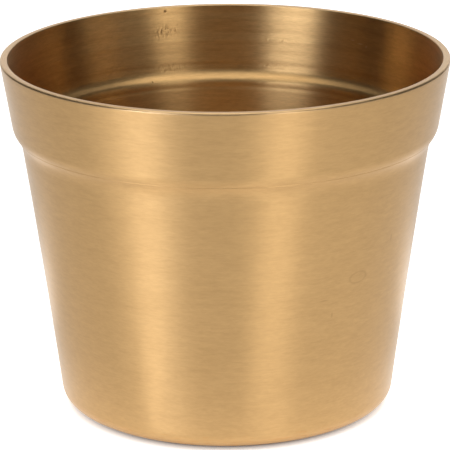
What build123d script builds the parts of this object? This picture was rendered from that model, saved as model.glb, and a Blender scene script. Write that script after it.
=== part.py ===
from build123d import *

import os
from math import atan2, cos, degrees, pi, sin, tan

# Driving dimensions, in millimetres. Heights run up from the underside of the metal pot.
rim_radius = 75.0
pot_height = 118.9
wall = 2.5
lip_outer_round = 0.75
lip_inner_round = 0.4

# The collar tapers down from the rim to a rounded shoulder, which steps in to the neck of the body.
collar_height = 23.9
collar_foot_radius = 71.1
shoulder_height = 4.3
neck_radius = 68.35
collar_round = 8.0
crease_round = 2.3

# The body tapers from the neck to the foot, very slightly hollow on the way.
foot_radius = 56.1
body_hollow = 0.36
foot_round = 5.3

# The wall is turned in under the foot as a flat flange that carries the base disc.
flange_width = 11.0
disc_thickness = 2.0
disc_clearance = 0.2
disc_bevel = 1.2
seam_height = 3.0

# Felt pads keep the flange off the furniture.
pad_count = 4
pad_radius = 4.0
pad_thickness = 1.0
pad_edge_round = 0.25

# Levels, with the pads standing on z = 0.
underside = pad_thickness
flange_top = underside + wall
disc_top = flange_top + disc_thickness
rim_level = underside + pot_height
collar_foot_level = rim_level - collar_height
neck_level = collar_foot_level - shoulder_height

# Corners of the outer profile, as (radius, height), from the rim down to the foot.
outer_corners = [
    Vector(rim_radius, rim_level),
    Vector(collar_foot_radius, collar_foot_level),
    Vector(neck_radius, neck_level),
    Vector(foot_radius, underside),
]


def inward(start, end):
    """Unit normal of a stretch of the profile that runs downwards, pointing to the pot's axis."""
    run = (end - start).normalized()
    return Vector(run.Y, -run.X)


def meeting_point(first, second):
    """Corner of the inner profile, where two stretches of the wall's inside meet."""
    first_start, first_end = first
    second_start, second_end = second
    along = (first_end - first_start).normalized()
    across = inward(second_start, second_end)
    reach = (second_start - first_start).dot(across) / along.dot(across)
    return first_start + along * reach


def inside_stretch(start, end):
    """A straight stretch of the outer profile moved in by the wall."""
    step = inward(start, end) * wall
    return start + step, end + step


inside_stretches = [inside_stretch(a, b) for a, b in zip(outer_corners, outer_corners[1:])]
rim_line = (Vector(rim_radius, rim_level), Vector(0, rim_level))
flange_line = (Vector(foot_radius, flange_top), Vector(0, flange_top))
inner_corners = [
    meeting_point(inside_stretches[0], rim_line),
    meeting_point(inside_stretches[0], inside_stretches[1]),
    meeting_point(inside_stretches[1], inside_stretches[2]),
    meeting_point(inside_stretches[2], flange_line),
]

# The foot's round ends where the flange's flat begins, at the same radius inside and outside.
body_lean = atan2(neck_radius - foot_radius, neck_level - underside)
flat_radius = foot_radius - foot_round / tan(pi / 4 + body_lean / 2)
flange_hole_radius = flat_radius - flange_width
pad_circle_radius = flat_radius - flange_width / 2
disc_radius = flat_radius - disc_clearance
disc_face_radius = disc_radius - disc_bevel


def body_side(neck, foot):
    """The body's line from neck to foot, hollowed towards the axis."""
    middle = (neck + foot) / 2 + inward(neck, foot) * body_hollow
    return ThreePointArc(neck, middle, foot)


def round_corner(section, corner, radius):
    """Round the corner of a section that lies nearest to a given point."""
    vertex = section.vertices().sort_by_distance(corner)[0]
    return fillet(vertex, radius)


def turned(section):
    """Turn a section drawn as (radius, height) about the pot's axis."""
    return revolve(Plane.XZ * section, axis=Axis.Z)


def wall_section():
    rim, collar_foot, neck, foot = outer_corners
    inner_rim, inner_collar_foot, inner_neck, inner_foot = inner_corners
    flange_edge = Vector(flange_hole_radius, underside)
    flange_top_edge = Vector(flange_hole_radius, flange_top)
    outline = [
        Polyline(rim, collar_foot, neck),
        body_side(neck, foot),
        Polyline(foot, flange_edge, flange_top_edge, inner_foot),
        body_side(inner_neck, inner_foot),
        Polyline(inner_neck, inner_collar_foot, inner_rim, rim),
    ]
    section = make_face(Curve() + outline)
    rounds = [
        (rim, lip_outer_round),
        (collar_foot, collar_round),
        (neck, crease_round),
        (foot, foot_round),
        (inner_foot, foot_round - wall),
        (inner_neck, crease_round + wall),
        (inner_collar_foot, collar_round - wall),
        (inner_rim, lip_inner_round),
    ]
    for corner, radius in rounds:
        section = round_corner(section, corner, radius)
    return section


def make_pot_wall():
    return turned(wall_section())


def make_base_disc():
    outline = Polyline(
        (0, flange_top),
        (disc_radius, flange_top),
        (disc_radius, disc_top - disc_bevel),
        (disc_face_radius, disc_top),
        (0, disc_top),
        close=True,
    )
    return turned(make_face(outline))


def make_base_seam():
    """Brazing metal that fills the gap round the disc and coves up to the wall."""
    seam_top = disc_top + seam_height
    seam_top_line = (Vector(foot_radius, seam_top), Vector(0, seam_top))
    cove_end = meeting_point(inside_stretches[2], seam_top_line)
    disc_shoulder = Vector(disc_radius, disc_top - disc_bevel)
    disc_face_edge = Vector(disc_face_radius, disc_top)
    outline = [
        TangentArc(disc_face_edge, cove_end, tangent=(1, 0)),
        Polyline(cove_end, (foot_radius, flange_top), (disc_radius, flange_top), disc_shoulder, disc_face_edge),
    ]
    ring_section = make_face(Curve() + outline) - wall_section()
    return turned(ring_section.faces().sort_by(Axis.X)[0])


def make_foot_pad(number):
    """A felt disc stuck to the flange, with its lower edge softened."""
    outline = Polyline(
        (0, 0),
        (pad_radius, 0),
        (pad_radius, pad_thickness),
        (0, pad_thickness),
        close=True,
    )
    section = round_corner(make_face(outline), Vector(pad_radius, 0), pad_edge_round)
    angle = 2 * pi * (number - 0.5) / pad_count
    seat = (pad_circle_radius * cos(angle), pad_circle_radius * sin(angle), 0)
    return Pos(seat) * turned(section)


nodes = {
    "pot_wall": make_pot_wall(),
    "base_disc": make_base_disc(),
    "base_seam": make_base_seam(),
}
for pad in range(1, pad_count + 1):
    nodes[f"foot_pad_{pad}"] = make_foot_pad(pad)

os.makedirs("parts", exist_ok=True)
for name, solid in nodes.items():
    solid.label = name
    export_step(solid, f"parts/{name}.step")

print(f"body leans {degrees(body_lean):.2f} degrees, flange flat from {flange_hole_radius:.2f} to {flat_radius:.2f}")
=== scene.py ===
from math import acos, cos, exp, hypot, pi, radians, sin, tan

import bmesh
import bpy
from mathutils import Matrix, Vector, noise


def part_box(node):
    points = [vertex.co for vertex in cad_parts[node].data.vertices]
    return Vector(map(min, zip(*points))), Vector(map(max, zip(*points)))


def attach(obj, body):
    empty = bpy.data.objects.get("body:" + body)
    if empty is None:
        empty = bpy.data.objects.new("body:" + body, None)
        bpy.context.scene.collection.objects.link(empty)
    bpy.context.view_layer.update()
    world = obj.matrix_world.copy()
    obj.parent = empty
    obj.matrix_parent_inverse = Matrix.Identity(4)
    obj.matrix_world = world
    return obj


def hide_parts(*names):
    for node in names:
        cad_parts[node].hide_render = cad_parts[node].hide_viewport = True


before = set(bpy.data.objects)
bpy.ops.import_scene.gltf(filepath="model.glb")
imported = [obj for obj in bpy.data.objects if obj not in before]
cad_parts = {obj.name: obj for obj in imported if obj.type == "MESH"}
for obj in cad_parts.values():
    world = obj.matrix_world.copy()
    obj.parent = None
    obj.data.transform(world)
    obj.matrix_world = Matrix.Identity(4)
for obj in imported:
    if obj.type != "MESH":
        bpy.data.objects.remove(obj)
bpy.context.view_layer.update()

MM = 0.001

# Levels and radii of the pieces, from the frame
wall_low, wall_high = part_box("pot_wall")
disc_low, disc_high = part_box("base_disc")
underside = wall_low.z
rim_level = wall_high.z
flange_top = disc_low.z
disc_top = disc_high.z
disc_radius = disc_high.x

# The wall's profile
wall = 2.5 * MM
rim_radius = 75.0 * MM
lip_outer_round = 0.75 * MM
lip_inner_round = 0.4 * MM
lip_finish_depth = 0.825 * MM
collar_height = 23.9 * MM
collar_foot_radius = 71.1 * MM
shoulder_height = 4.3 * MM
neck_radius = 68.35 * MM
collar_round = 8.0 * MM
crease_round = 12.5 * MM
foot_radius = 56.1 * MM
foot_round = 5.3 * MM
body_hollow = 0.36 * MM
flange_width = 11.0 * MM
collar_foot_level = rim_level - collar_height
neck_level = collar_foot_level - shoulder_height

# The ledge inside, behind the shoulder: its drop below the rim, its width and its slope from upright
ledge_drop = 23.55 * MM
ledge_width = 3.5 * MM
ledge_slope = radians(49)
ledge_top_round = 3.8 * MM
ledge_edge_round = 2.9 * MM

# The line scored under the collar, where its round meets the shoulder
score_reach = 1.75 * MM
score_width = 0.4 * MM
score_root_reach = score_width / 3
score_depth = 0.15 * MM
score_round = 0.06 * MM

# Rings left by the spinning tool, inside and under the shoulder outside: height, shift outwards and width
inside_rings = [
    (117.0 * MM, 0.04 * MM, 0.7 * MM),
    (114.6 * MM, -0.02 * MM, 0.9 * MM),
    (110.4 * MM, 0.04 * MM, 1.1 * MM),
    (107.5 * MM, -0.045 * MM, 0.8 * MM),
    (103.2 * MM, 0.03 * MM, 1.0 * MM),
    (99.0 * MM, 0.065 * MM, 0.7 * MM),
    (91.6 * MM, 0.09 * MM, 0.4 * MM),
    (90.4 * MM, -0.02 * MM, 0.6 * MM),
    (86.0 * MM, 0.02 * MM, 1.0 * MM),
]
outside_rings = [(92.3 * MM, -0.12 * MM, 1.8 * MM)]

# The base disc, the brazed seam round it and how far the seam sinks into its neighbours
disc_bevel = 1.2 * MM
seam_height = 3.0 * MM
seam_bite = 0.15 * MM

# The felt pads; each is pressed a little thinner than its node
PAD_COUNT = 4
pad_press = 0.05 * MM
pad_lower_round = 0.3 * MM
pad_upper_round = 0.12 * MM

# Unevenness of the surfaces: how long its waves are and how far they stray
wall_wave_length = 22 * MM
wall_wave = 0.035 * MM
braze_wave_length = 9 * MM
braze_ripple_length = 3.5 * MM
braze_ripple_share = 0.6
braze_wave = 0.12 * MM
felt_wave_length = 0.5 * MM
felt_wave = 0.035 * MM

# How finely round stretches, straight stretches and the turn about the axis are divided
ROUND_STEPS = 10
COVE_STEPS = 14
OUTER_STEP = 1.0 * MM
INNER_STEP = 0.5 * MM
PAD_STEP = 0.25 * MM
SEGMENTS = 256
PAD_SEGMENTS = 72
MERGE_DISTANCE = 0.0001 * MM


def inward(start, end):
    """Unit normal of a stretch of the profile that runs downwards, pointing to the pot's axis."""
    run = (end - start).normalized()
    return Vector((run.y, -run.x))


def moved_in(start, end):
    """A straight stretch of the outer profile moved in by the wall."""
    step = inward(start, end) * wall
    return start + step, end + step


def meeting_point(first, second):
    """Where the lines through two stretches cross."""
    along = (first[1] - first[0]).normalized()
    across = inward(*second)
    reach = (second[0] - first[0]).dot(across) / along.dot(across)
    return first[0] + along * reach


def rounded(corners, radii):
    """Points of a line through corners, each inner corner rounded to its radius."""
    points = [corners[0]]
    for before, corner, after, radius in zip(corners, corners[1:], corners[2:], radii):
        to_before = (before - corner).normalized()
        to_after = (after - corner).normalized()
        half = acos(max(-1, min(1, to_before.dot(to_after)))) / 2
        centre = corner + (to_before + to_after).normalized() * radius / sin(half)
        first = corner + to_before * radius / tan(half) - centre
        last = corner + to_after * radius / tan(half) - centre
        turn = pi - 2 * half
        for step in range(ROUND_STEPS + 1):
            share = step / ROUND_STEPS
            arm = first * sin((1 - share) * turn) + last * sin(share * turn)
            points.append(centre + arm / sin(turn))
    points.append(corners[-1])
    return points


def divided(points, longest):
    """The same line, with long stretches cut into short ones."""
    fine = []
    for start, end in zip(points, points[1:]):
        count = max(1, round((end - start).length / longest))
        fine.extend(start.lerp(end, step / count) for step in range(count))
    fine.append(points[-1])
    return fine


def hump(share):
    """A smooth rise and fall: one half-way, nothing at 0 and 1 and beyond them."""
    return 4 * share * (1 - share) if 0 < share < 1 else 0


def hollowed(points, neck, foot):
    """The body's line drawn in towards the axis by up to body_hollow between neck and foot."""
    bent = []
    for point in points:
        depth = body_hollow * hump((point.y - foot) / (neck - foot))
        bent.append(Vector((point.x - depth, point.y)))
    return bent


def ringed(points, rings):
    """The same line with the tool's rings in it."""
    marked = []
    for point in points:
        shift = sum(out * exp(-(((point.y - height) / width) ** 2)) for height, out, width in rings)
        marked.append(Vector((point.x + shift, point.y)))
    return marked


def level_line(level):
    """A level stretch of the section, running in to the axis."""
    return Vector((foot_radius, level)), Vector((0, level))


outer_corners = [
    Vector((rim_radius, rim_level)),
    Vector((collar_foot_radius, collar_foot_level)),
    Vector((neck_radius, neck_level)),
    Vector((foot_radius, underside)),
]
inside_stretches = [moved_in(start, end) for start, end in zip(outer_corners, outer_corners[1:])]


def wall_lines():
    """The wall's section as two lines: up the outside to the middle of the lip, then down the inside."""
    rim, collar_foot, neck, foot = outer_corners
    ledge_top = meeting_point(inside_stretches[0], level_line(rim_level - ledge_drop))
    ledge_edge = ledge_top - Vector((sin(ledge_slope), cos(ledge_slope))) * ledge_width
    inner = [
        meeting_point(inside_stretches[0], level_line(rim_level)),
        ledge_top,
        ledge_edge,
        meeting_point(inside_stretches[2], level_line(flange_top)),
    ]
    lean = acos((neck_level - underside) / hypot(neck_radius - foot_radius, neck_level - underside))
    flange_edge = foot_radius - foot_round / tan(pi / 4 + lean / 2) - flange_width
    lip_middle = (rim + inner[0]) / 2
    down_shoulder = (neck - collar_foot).normalized()
    score_top = collar_foot + down_shoulder * score_reach
    score_root = score_top + down_shoulder * score_root_reach + inward(collar_foot, neck) * score_depth
    score_end = score_top + down_shoulder * score_width
    outside = rounded(
        [
            Vector((flange_edge, underside)),
            foot,
            neck,
            score_end,
            score_root,
            score_top,
            collar_foot,
            rim,
            lip_middle,
        ],
        [foot_round, crease_round, score_round, score_round, score_round, collar_round, lip_outer_round],
    )
    inside = rounded(
        [lip_middle, *inner, Vector((flange_edge, flange_top))],
        [lip_inner_round, ledge_top_round, ledge_edge_round, foot_round - wall],
    )
    outside = hollowed(divided(outside, OUTER_STEP), neck_level, underside)
    inside = hollowed(divided(inside, INNER_STEP), neck_level, underside)
    return ringed(outside, outside_rings), ringed(inside, inside_rings)


def placed(name, data):
    """A new object in the scene."""
    thing = bpy.data.objects.new(name, data)
    bpy.context.scene.collection.objects.link(thing)
    return thing


def lathe(name, profile, closed=True, segments=SEGMENTS, centre=(0, 0), unevenness=None, slots=None):
    """A mesh object turned from (radius, height) points; an open profile starts and ends on the axis.

    Unevenness gives a shift for each point, and slots the material of each stretch.
    """
    count = len(profile)
    stretches = count if closed else count - 1
    vertices = []
    faces = []
    for turn in range(segments):
        angle = 2 * pi * turn / segments
        for point in profile:
            place = Vector((point.x * cos(angle), point.x * sin(angle), point.y))
            if unevenness:
                place += unevenness(place, point)
            vertices.append((place.x + centre[0], place.y + centre[1], place.z))
    for turn in range(segments):
        here = turn * count
        there = (turn + 1) % segments * count
        for stretch in range(stretches):
            after = (stretch + 1) % count
            faces.append((here + stretch, there + stretch, there + after, here + after))
    mesh = bpy.data.meshes.new(name)
    mesh.from_pydata(vertices, [], faces)
    for polygon in mesh.polygons:
        polygon.use_smooth = True
        if slots:
            polygon.material_index = slots[polygon.index % stretches]
    if not closed:
        shape = bmesh.new()
        shape.from_mesh(mesh)
        bmesh.ops.remove_doubles(shape, verts=shape.verts, dist=MERGE_DISTANCE)
        shape.to_mesh(mesh)
        shape.free()
    return placed(name, mesh)


def dress(piece, node, slot, *materials):
    """Give a piece its materials, hide the CAD node it stands in for, and hang it on the root body."""
    for material in materials:
        piece.data.materials.append(material)
    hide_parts(node)
    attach(piece, "root")


# Streaks are drawn out round a wall of this mean radius
STREAK_RADIUS = 65 * MM

# How far tones and streaks mostly swing to either side of zero, and where plain noise mostly lies
TONE_SWING = 0.5
STREAK_SWING = 0.3
NOISE_LOW = 0.35
NOISE_HIGH = 0.65


class Nodes:
    """Short forms for building a material's node tree, with coordinates that follow the turning.

    From the object's coordinates come the radius, the turn about the axis and the way along the profile.
    """

    def __init__(self, name):
        self.material = bpy.data.materials.new(name)
        self.material.use_nodes = True
        self.tree = self.material.node_tree
        self.shader = self.tree.nodes["Principled BSDF"]
        self.position = self.add("ShaderNodeTexCoord").outputs["Object"]
        split = self.add("ShaderNodeSeparateXYZ")
        self.feed(split.inputs[0], self.position)
        x, y, self.height = split.outputs
        self.radius = self.hypotenuse(x, y)
        self.round_x = self.math("DIVIDE", x, self.radius)
        self.round_y = self.math("DIVIDE", y, self.radius)
        self.turn = self.math("ARCTAN2", y, x)
        self.along = self.math("ADD", self.height, self.radius)

    def add(self, kind, **settings):
        node = self.tree.nodes.new(kind)
        for key, value in settings.items():
            setattr(node, key, value)
        return node

    def feed(self, socket, source):
        """Link a socket to another one, or set it to a constant."""
        if hasattr(source, "links"):
            self.tree.links.new(source, socket)
        else:
            socket.default_value = source

    def set(self, **values):
        """Feed sockets of the shader, named with _ for a space."""
        for name, value in values.items():
            self.feed(self.shader.inputs[name.replace("_", " ")], value)

    def math(self, operation, *inputs):
        node = self.add("ShaderNodeMath", operation=operation)
        for socket, source in zip(node.inputs, inputs):
            self.feed(socket, source)
        return node.outputs[0]

    def vector_math(self, operation, output, *inputs):
        node = self.add("ShaderNodeVectorMath", operation=operation)
        for socket, source in zip(node.inputs, inputs):
            self.feed(socket, source)
        return node.outputs[output]

    def vector(self, x, y, z):
        node = self.add("ShaderNodeCombineXYZ")
        for socket, source in zip(node.inputs, (x, y, z)):
            self.feed(socket, source)
        return node.outputs[0]

    def hypotenuse(self, first, second):
        squares = [self.math("MULTIPLY", side, side) for side in (first, second)]
        return self.math("SQRT", self.math("ADD", *squares))

    def noise(self, vector, detail, roughness, scale=1.0):
        node = self.add("ShaderNodeTexNoise")
        self.feed(node.inputs["Vector"], vector)
        node.inputs["Scale"].default_value = scale
        node.inputs["Detail"].default_value = detail
        node.inputs["Roughness"].default_value = roughness
        return node.outputs["Fac"]

    def ramp(self, factor, low, high, from_low=0.0, from_high=1.0):
        node = self.add("ShaderNodeMapRange")
        self.feed(node.inputs["Value"], factor)
        node.inputs["From Min"].default_value = from_low
        node.inputs["From Max"].default_value = from_high
        node.inputs["To Min"].default_value = low
        node.inputs["To Max"].default_value = high
        return node.outputs[0]

    def vary(self, streaks, low, high):
        """A value that runs from low to high with streaks centred on zero."""
        return self.ramp(streaks, low, high, -STREAK_SWING, STREAK_SWING)

    def mix(self, factor, first, second):
        node = self.add("ShaderNodeMix", data_type="RGBA")
        self.feed(node.inputs["Factor"], factor)
        colours = [socket for socket in node.inputs if socket.type == "RGBA"]
        for socket, source in zip(colours, (first, second)):
            self.feed(socket, source)
        return next(socket for socket in node.outputs if socket.type == "RGBA")

    def shade(self, tone, dark, light, low=-TONE_SWING, high=TONE_SWING):
        """A colour that runs from dark to light as the tone rises from low to high."""
        return self.mix(self.ramp(tone, 0, 1, low, high), dark, light)

    def tint(self, base, colour, mask, strength):
        """The base colour turned towards another one under a mask."""
        return self.mix(self.math("MULTIPLY", mask, strength), base, colour)

    def streaks(self, length, width, detail=2, roughness=0.6):
        """Noise drawn out round the pot into streaks of about this length and width, centred on zero."""
        rounds = STREAK_RADIUS / length
        stretched = self.vector(
            self.math("MULTIPLY", self.round_x, rounds),
            self.math("MULTIPLY", self.round_y, rounds),
            self.math("MULTIPLY", self.along, 1 / width),
        )
        return self.math("SUBTRACT", self.noise(stretched, detail, roughness), 0.5)

    def total(self, *weighted):
        """Sum of (source, weight) pairs."""
        result = None
        for source, weight in weighted:
            part = self.math("MULTIPLY", source, weight)
            result = part if result is None else self.math("ADD", result, part)
        return result

    def away(self, angle, height, reach_round, reach_up):
        """How far a point is from a place on the wall, one at the given reach; the angle is in degrees."""
        off = self.math("SUBTRACT", self.turn, radians(angle))
        across = self.math("DIVIDE", self.math("MULTIPLY", off, self.radius), reach_round)
        up = self.math("DIVIDE", self.math("SUBTRACT", self.height, height), reach_up)
        return self.hypotenuse(across, up)

    def spots(self, marks):
        """Soft patches, one at their middles and nothing beyond their reach."""
        result = 0.0
        for mark in marks:
            result = self.math("MAXIMUM", result, self.ramp(self.away(*mark), 1, 0))
        return result

    def loop(self, mark, width, strength):
        """A soft closed line at the reach of a mark, its width a share of that reach."""
        off_line = self.math("ABSOLUTE", self.math("SUBTRACT", self.away(*mark), 1.0))
        return self.ramp(off_line, strength, 0, 0, width)

    def distance_from(self, point):
        """How far the surface is from a point."""
        return self.vector_math("DISTANCE", "Value", self.position, point)

    def off_heading(self, foot, heading):
        """The angle that the way from a foot to the surface makes with a heading."""
        way = self.vector_math("SUBTRACT", "Vector", self.position, foot)
        ray = self.vector_math("NORMALIZE", "Vector", way)
        return self.math("ARCCOSINE", self.vector_math("DOT_PRODUCT", "Value", ray, heading))

    def bump(self, height, distance, strength):
        node = self.add("ShaderNodeBump")
        node.inputs["Strength"].default_value = strength
        node.inputs["Distance"].default_value = distance
        self.feed(node.inputs["Height"], height)
        self.set(Normal=node.outputs[0])

    def brushed(self, anisotropy):
        """A finish brushed round the axis, so highlights draw out along it."""
        tangent = self.add("ShaderNodeTangent", direction_type="RADIAL", axis="Z")
        self.set(Metallic=1.0, Anisotropic=anisotropy, Anisotropic_Rotation=0.25)
        self.set(Tangent=tangent.outputs[0])


WHITE = (1, 1, 1, 1)
TABLE_PALE = (0.9, 0.9, 0.9, 1)
OUTSIDE_LIGHT = (0.60, 0.376, 0.165, 1)
OUTSIDE_DARK = (0.46, 0.281, 0.117, 1)
LIP_LIGHT = (0.85, 0.58, 0.31, 1)
INSIDE_LIGHT = (0.72, 0.450, 0.188, 1)
INSIDE_DARK = (0.55, 0.335, 0.135, 1)
# Dark brown for stain in the pits and nicks, and for painted shade at the dent's edge
STAIN_AND_PAINTED_SHADE = (0.16, 0.085, 0.03, 1)
# Warm orange of the reflection painted along the foot
PAINTED_FOOT_REFLECTION = (0.50, 0.255, 0.085, 1)
SCRATCH = (0.85, 0.62, 0.36, 1)
BRAZE_LIGHT = (0.64, 0.44, 0.21, 1)
BRAZE_DARK = (0.40, 0.25, 0.11, 1)
FELT_LIGHT = (0.13, 0.108, 0.092, 1)
FELT_DARK = (0.035, 0.028, 0.024, 1)

# Marks on the wall: angle in degrees, height, and their reach round the pot and up it
dent = (-47.8, 57.2 * MM, 3.6 * MM, 1.9 * MM)
outside_nicks = [
    (-33.9, 67.3 * MM, 0.45 * MM, 1.7 * MM),
    (-59.9, 51.6 * MM, 2.2 * MM, 0.35 * MM),
    (-56.6, 45.9 * MM, 0.4 * MM, 1.3 * MM),
]
inside_pits = [
    (107.1, 118.4 * MM, 0.55 * MM, 0.55 * MM),
    (112.9, 94.4 * MM, 0.4 * MM, 0.4 * MM),
]
inside_chatter = [
    (73.0, 107.8 * MM, 10.0 * MM, 0.9 * MM),
    (74.8, 98.8 * MM, 9.0 * MM, 1.2 * MM),
    (107.2, 111.2 * MM, 7.0 * MM, 4.0 * MM),
    (107.2, 98.4 * MM, 8.0 * MM, 2.5 * MM),
]
inside_scratches = [
    (50.8, 110.9 * MM, 1.3 * MM, 0.3 * MM),
    (48.0, 110.1 * MM, 1.6 * MM, 0.4 * MM),
    (45.7, 109.5 * MM, 0.6 * MM, 0.6 * MM),
]

# A warm reflection painted along the foot, broken into dashes, is full up to the first height and gone at
# the second
foot_reflection_full = 3 * MM
foot_reflection_gone = 7 * MM


def outer_brass():
    """Brass brushed round the pot in fine even lines, with a few knocks, painted shade at the dent's edge
    and a painted warm reflection in dashes along the foot.
    """
    nodes = Nodes("brass_outside")
    fine = nodes.streaks(length=2.2 * MM, width=0.65 * MM)
    middle = nodes.streaks(length=7 * MM, width=1.8 * MM)
    long = nodes.streaks(length=16 * MM, width=0.6 * MM)
    cloud = nodes.streaks(length=30 * MM, width=9 * MM)
    dashes = nodes.streaks(length=5 * MM, width=0.9 * MM)
    tone = nodes.total((fine, 0.7), (middle, 0.7), (long, 0.3), (cloud, 0.45))
    brass = nodes.shade(tone, OUTSIDE_DARK, OUTSIDE_LIGHT)
    # Painted shade: the dent's edge is darkened in the colour; the nicks are darkened too
    dent_edge_painted_shade = nodes.loop(dent, width=0.22, strength=0.55)
    knocks = nodes.math("MAXIMUM", nodes.spots(outside_nicks), dent_edge_painted_shade)
    brass_with_painted_dent_shade = nodes.tint(brass, STAIN_AND_PAINTED_SHADE, knocks, strength=0.3)
    # Painted reflection: a warm band in dashes along the foot
    near_foot = nodes.ramp(nodes.height, 1, 0, foot_reflection_full, foot_reflection_gone)
    painted_foot_reflection = nodes.math("MULTIPLY", near_foot, nodes.ramp(dashes, 0, 1, from_low=0.04, from_high=0.16))
    nodes.set(
        Base_Color=nodes.tint(brass_with_painted_dent_shade, PAINTED_FOOT_REFLECTION, painted_foot_reflection, strength=0.6),
        Roughness=nodes.vary(nodes.total((long, 0.6), (cloud, 0.4)), low=0.34, high=0.42),
    )
    nodes.brushed(anisotropy=0.75)
    relief = nodes.total((fine, 0.006 * MM), (long, 0.004 * MM), (knocks, -0.02 * MM))
    nodes.bump(relief, distance=1.0, strength=0.3)
    return nodes.material


def inner_brass():
    """Brass as the spinning tool left it, with chatter and a few pits and scratches."""
    nodes = Nodes("brass_inside")
    fine = nodes.streaks(length=2.2 * MM, width=0.5 * MM)
    middle = nodes.streaks(length=9 * MM, width=1.5 * MM)
    long = nodes.streaks(length=30 * MM, width=1.3 * MM)
    cloud = nodes.streaks(length=30 * MM, width=7 * MM)
    ripple = nodes.streaks(length=0.9 * MM, width=2.2 * MM, detail=1)
    chatter = nodes.math("MULTIPLY", nodes.spots(inside_chatter), ripple)
    pits = nodes.spots(inside_pits)
    tone = nodes.total((fine, 1.3), (middle, 1.0), (long, 1.0), (cloud, 0.7))
    brass = nodes.shade(tone, INSIDE_DARK, INSIDE_LIGHT)
    pitted = nodes.mix(nodes.ramp(pits, low=0, high=0.65, from_high=0.5), brass, STAIN_AND_PAINTED_SHADE)
    nodes.set(
        Base_Color=nodes.tint(pitted, SCRATCH, nodes.spots(inside_scratches), strength=0.7),
        Roughness=nodes.vary(nodes.total((long, 0.6), (cloud, 0.4)), low=0.33, high=0.40),
    )
    nodes.brushed(anisotropy=0.80)
    relief = nodes.total(
        (fine, 0.012 * MM),
        (middle, 0.02 * MM),
        (long, 0.012 * MM),
        (chatter, 0.36 * MM),
        (pits, -0.15 * MM),
    )
    nodes.bump(relief, distance=1.0, strength=0.5)
    return nodes.material


def lip_brass():
    """The trimmed edge of the wall, rubbed smoother than the rest."""
    nodes = Nodes("brass_lip")
    fine = nodes.streaks(length=3 * MM, width=0.3 * MM)
    cloud = nodes.streaks(length=20 * MM, width=3 * MM)
    tone = nodes.total((fine, 0.6), (cloud, 0.5))
    nodes.set(
        Base_Color=nodes.shade(tone, OUTSIDE_DARK, LIP_LIGHT),
        Roughness=nodes.vary(cloud, low=0.32, high=0.39),
    )
    nodes.brushed(anisotropy=0.6)
    nodes.bump(fine, distance=0.004 * MM, strength=0.3)
    return nodes.material


def turned_disc_brass():
    """The base disc, faced on the lathe."""
    nodes = Nodes("brass_base")
    fine = nodes.streaks(length=6 * MM, width=0.35 * MM)
    broad = nodes.streaks(length=60 * MM, width=2.5 * MM)
    tone = nodes.total((fine, 0.6), (broad, 0.6))
    nodes.set(
        Base_Color=nodes.shade(tone, INSIDE_DARK, INSIDE_LIGHT),
        Roughness=nodes.vary(broad, low=0.34, high=0.44),
    )
    nodes.brushed(anisotropy=0.75)
    nodes.bump(fine, distance=0.02 * MM, strength=0.4)
    return nodes.material


def braze():
    """Brazing alloy, run in and cooled: not brushed, rippled and stained."""
    nodes = Nodes("braze")
    ripple = nodes.noise(nodes.position, detail=3, roughness=0.55, scale=420)
    stain = nodes.noise(nodes.position, detail=4, roughness=0.6, scale=90)
    nodes.set(
        Base_Color=nodes.shade(stain, BRAZE_DARK, BRAZE_LIGHT, NOISE_LOW, NOISE_HIGH),
        Roughness=nodes.ramp(stain, low=0.52, high=0.36, from_low=NOISE_LOW, from_high=NOISE_HIGH),
        Metallic=1.0,
    )
    nodes.bump(ripple, distance=0.15 * MM, strength=0.5)
    return nodes.material


def felt():
    """Pressed wool felt: short fibres lying every way."""
    nodes = Nodes("felt")
    fibres = nodes.noise(nodes.position, detail=6, roughness=0.75, scale=3500)
    tufts = nodes.noise(nodes.position, detail=3, roughness=0.6, scale=700)
    tone = nodes.total((fibres, 0.6), (tufts, 0.4))
    nodes.set(
        Base_Color=nodes.shade(tone, FELT_DARK, FELT_LIGHT, NOISE_LOW, NOISE_HIGH),
        Roughness=0.95,
        Sheen_Weight=0.4,
        Sheen_Roughness=0.5,
    )
    nodes.bump(tone, distance=0.25 * MM, strength=0.8)
    return nodes.material


# The wall, with a finish for each of its three zones
OUTSIDE = 0
INSIDE = 1
LIP = 2


def spun_unevenness(place, point):
    """The slight waviness of a spun wall, square to the axis."""
    ripple = noise.noise(place / wall_wave_length) * wall_wave
    return Vector((place.x, place.y, 0)).normalized() * ripple


outside_line, inside_line = wall_lines()
section = outside_line + inside_line[1:]
finishes = [OUTSIDE] * (len(outside_line) - 1) + [INSIDE] * len(inside_line)
lip_foot = rim_level - lip_finish_depth
for stretch, (point, after) in enumerate(zip(section, section[1:])):
    if min(point.y, after.y) > lip_foot:
        finishes[stretch] = LIP
pot = lathe("pot_wall_turned", section, unevenness=spun_unevenness, slots=finishes)
dress(pot, "pot_wall", "brushed_brass", outer_brass(), inner_brass(), lip_brass())

# The base disc
disc_face_radius = disc_radius - disc_bevel
disc_line = [
    Vector((0, flange_top)),
    Vector((disc_radius, flange_top)),
    Vector((disc_radius, disc_top - disc_bevel)),
    Vector((disc_face_radius, disc_top)),
    Vector((0, disc_top)),
]
disc = lathe("base_disc_turned", divided(disc_line, OUTER_STEP), closed=False)
dress(disc, "base_disc", "brushed_brass", turned_disc_brass())


# The brazed seam, a cove that leaves the disc level and ends on the wall
def braze_unevenness(place, point):
    """Ripples of the run-in metal, strongest in the middle of its cove."""
    swell = hump((point.y - disc_top) / seam_height)
    ripple = noise.noise(place / braze_ripple_length) * braze_ripple_share
    ripple += noise.noise(place / braze_wave_length)
    outward = Vector((place.x, place.y, 0)).normalized()
    return (Vector((0, 0, 1)) - outward) * swell * ripple * braze_wave


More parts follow.
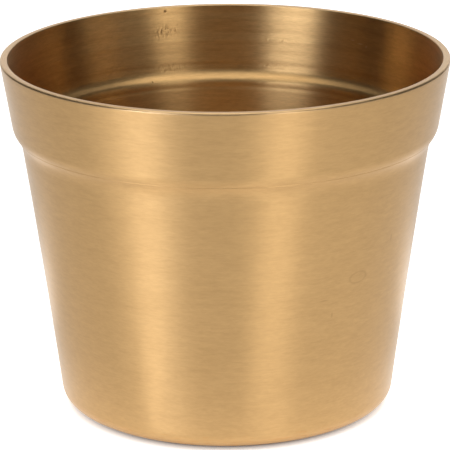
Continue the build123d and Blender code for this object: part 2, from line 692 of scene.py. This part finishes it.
cove_end = meeting_point(inside_stretches[2], level_line(disc_top + seam_height))
cove_span = cove_end.x - disc_face_radius
cove_radius = (cove_span**2 + seam_height**2) / (2 * seam_height)
cove_turn = acos(1 - seam_height / cove_radius)
cove = []
for step in range(COVE_STEPS + 1):
    turn = cove_turn * step / COVE_STEPS
    rise = cove_radius * (1 - cos(turn))
    cove.append(Vector((disc_face_radius + cove_radius * sin(turn), disc_top + rise)))
seam_back = [
    cove_end + Vector((seam_bite, 0)),
    Vector((disc_radius + seam_bite, disc_top - disc_bevel)),
    Vector((disc_face_radius, disc_top - seam_bite)),
]
seam = lathe("base_seam_run", cove + seam_back, unevenness=braze_unevenness)
dress(seam, "base_seam", "brazing", braze())


# The felt pads
def felt_unevenness(place, point):
    """The soft, slightly ragged surface of a punched felt disc."""
    return noise.noise_vector(place / felt_wave_length) * felt_wave


pad_material = felt()
for number in range(1, PAD_COUNT + 1):
    pad_low, pad_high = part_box(f"foot_pad_{number}")
    pad_middle = (pad_low + pad_high) / 2
    pad_radius = (pad_high.x - pad_low.x) / 2
    pad_bottom = pad_low.z + pad_press
    pad_line = rounded(
        [
            Vector((0, pad_bottom)),
            Vector((pad_radius, pad_bottom)),
            Vector((pad_radius, pad_high.z)),
            Vector((0, pad_high.z)),
        ],
        [pad_lower_round, pad_upper_round],
    )
    pad = lathe(
        f"foot_pad_felt_{number}",
        divided(pad_line, PAD_STEP),
        closed=False,
        segments=PAD_SEGMENTS,
        centre=(pad_middle.x, pad_middle.y),
        unevenness=felt_unevenness,
    )
    dress(pad, f"foot_pad_{number}", "felt", pad_material)


def toward(azimuth, elevation=0):
    """Unit vector from the pot to a place seen from it. Degrees, azimuth to the right of the camera."""
    side = radians(azimuth)
    rise = radians(elevation)
    return Vector((sin(side) * cos(rise), -cos(side) * cos(rise), sin(rise)))


# The floor: a pale table with painted light, glowing with the light it would catch, which the pot mirrors
FLOOR_SIZE = 6.0

# Fades of the table's painted glow: brightness at the start and the end, and the distances they run between
painted_glow_middle = (60 * MM, -40 * MM, 0)
painted_glow_fade = (0.66, 0.44, 60 * MM, 330 * MM)
# Painted glow close round the pot, which lightens the table next to the foot
painted_glow_near_pot = (0.42, 0, 66 * MM, 95 * MM)
far_fade = (1, 0.2, 700 * MM, 1000 * MM)
# Painted shadow under the pot: the table's glow falls to nothing there
painted_shadow_under_pot = (0, 1, 50 * MM, 57 * MM)

# Painted fans of light, standing for what the wall and the backdrop throw on the table: foot, heading and
# spread in degrees, and brightness, which holds over the core of the spread
FAN_CORE = 1 / 4
painted_light_fans = [
    ((-35 * MM, -62 * MM, 0), -52, 29, 0.66),
    ((9 * MM, -72 * MM, 0), 34, 24, 0.46),
    ((0, 75 * MM, 0), 180, 45, 0.3),
]

# Painted patches of light on the table behind the pot on both sides
painted_light_patches = [(-115 * MM, 100 * MM, 0), (115 * MM, 100 * MM, 0)]
painted_patch_fade = (0.6, 0, 20 * MM, 60 * MM)


def painted_light_table():
    """The table's painted glow, with painted fans and patches of light added, a painted shadow under the
    pot, and the far table dimmed.
    """
    nodes = Nodes("pale_floor_painted_light")
    glow = nodes.ramp(nodes.distance_from(painted_glow_middle), *painted_glow_fade)
    glow = nodes.math("ADD", glow, nodes.ramp(nodes.radius, *painted_glow_near_pot))
    for foot, heading, spread, brightness in painted_light_fans:
        off = nodes.off_heading(foot, toward(heading))
        fan = nodes.ramp(off, brightness, 0, radians(spread * FAN_CORE), radians(spread))
        glow = nodes.math("ADD", glow, fan)
    for middle in painted_light_patches:
        glow = nodes.math("ADD", glow, nodes.ramp(nodes.distance_from(middle), *painted_patch_fade))
    for fade in (far_fade, painted_shadow_under_pot):
        glow = nodes.math("MULTIPLY", glow, nodes.ramp(nodes.radius, *fade))
    nodes.set(Base_Color=TABLE_PALE, Roughness=0.2, Emission_Color=WHITE, Emission_Strength=glow)
    return nodes.material


floor_mesh = bpy.data.meshes.new("floor")
corner = FLOOR_SIZE / 2
floor_mesh.from_pydata(
    [(-corner, -corner, 0), (corner, -corner, 0), (corner, corner, 0), (-corner, corner, 0)],
    [],
    [(0, 1, 2, 3)],
)
floor = placed("floor", floor_mesh)
floor.data.materials.append(painted_light_table())

# The light: a key and a fill in front, each stacked from boxes, panels overhead and behind, and dim screens
WORLD_GLOW = 0.02
LIGHT_DISTANCE = 2.5
NEUTRAL = (1.0, 1.0, 1.0)
COOL = (1.0, 1.08, 1.26)
world = bpy.data.worlds.new("studio")
bpy.context.scene.world = world
world.use_nodes = True
world.node_tree.nodes["Background"].inputs["Color"].default_value = WHITE
world.node_tree.nodes["Background"].inputs["Strength"].default_value = WORLD_GLOW


def soft_box(name, azimuth, elevation, width, height, brightness, colour=NEUTRAL):
    """A rectangle of even light aimed at the pot, placed and sized in degrees as the pot sees it.

    Its energy follows its size, so that boxes of the same brightness look equally bright.
    """
    light = bpy.data.lights.new(name, "AREA")
    light.color = colour
    light.shape = "RECTANGLE"
    light.size = 2 * LIGHT_DISTANCE * tan(radians(width) / 2)
    light.size_y = 2 * LIGHT_DISTANCE * tan(radians(height) / 2)
    light.energy = brightness * pi * light.size * light.size_y
    way = toward(azimuth, elevation)
    holder = placed(name, light)
    holder.location = Vector((0, 0, rim_level / 2)) + way * LIGHT_DISTANCE
    holder.rotation_mode = "QUATERNION"
    holder.rotation_quaternion = way.to_track_quat("Z", "Y")
    holder.visible_camera = False


# Azimuth, elevation, width, height and brightness of each box
soft_box("key_light_foot", -43, 5, 20, 10, 2.8, COOL)
soft_box("key_light", -38, 16, 25, 12, 5.7, COOL)
soft_box("fill_light_foot", 31, 5, 19, 10, 3.4)
soft_box("fill_light", 31, 16, 17, 12, 2.7)
soft_box("fill_light_top", 31, 34, 15, 23, 0.35)
soft_box("side_screen", 65, 11, 40, 22, 0.4)
soft_box("overhead_front", 0, 62, 64, 26, 0.85)
soft_box("overhead_light", 0, 90, 60, 30, 1.75)
soft_box("overhead_back", 180, 62, 64, 26, 1.2)
soft_box("back_light_top", 180, 33, 60, 22, 0.7)
soft_box("back_light", 180, 11, 60, 22, 0.95)
soft_box("left_wing", -125, 15, 50, 30, 0.06)
soft_box("right_wing", 125, 15, 50, 30, 0.06)

# The camera, as it stood for the photograph; its angles are in degrees
camera_distance = 928.8 * MM
camera_height = underside + 352.2 * MM
camera_pitch = 17.5
camera_yaw = 0.0243
camera_roll = -0.355
SENSOR_WIDTH = 36.0
FRAME_PIXELS = 450
FOCAL_PIXELS = 2873.5
camera_data = bpy.data.cameras.new("camera")
camera_data.sensor_width = SENSOR_WIDTH
camera_data.lens = FOCAL_PIXELS / FRAME_PIXELS * SENSOR_WIDTH
camera = placed("camera", camera_data)
forward = -toward(camera_yaw, camera_pitch)
aim = forward.to_track_quat("-Z", "Y").to_matrix() @ Matrix.Rotation(radians(camera_roll), 3, "Z")
camera.matrix_world = Matrix.Translation((0, -camera_distance, camera_height)) @ aim.to_4x4()
bpy.context.scene.camera = camera
bpy.context.scene.view_settings.view_transform = "Standard"
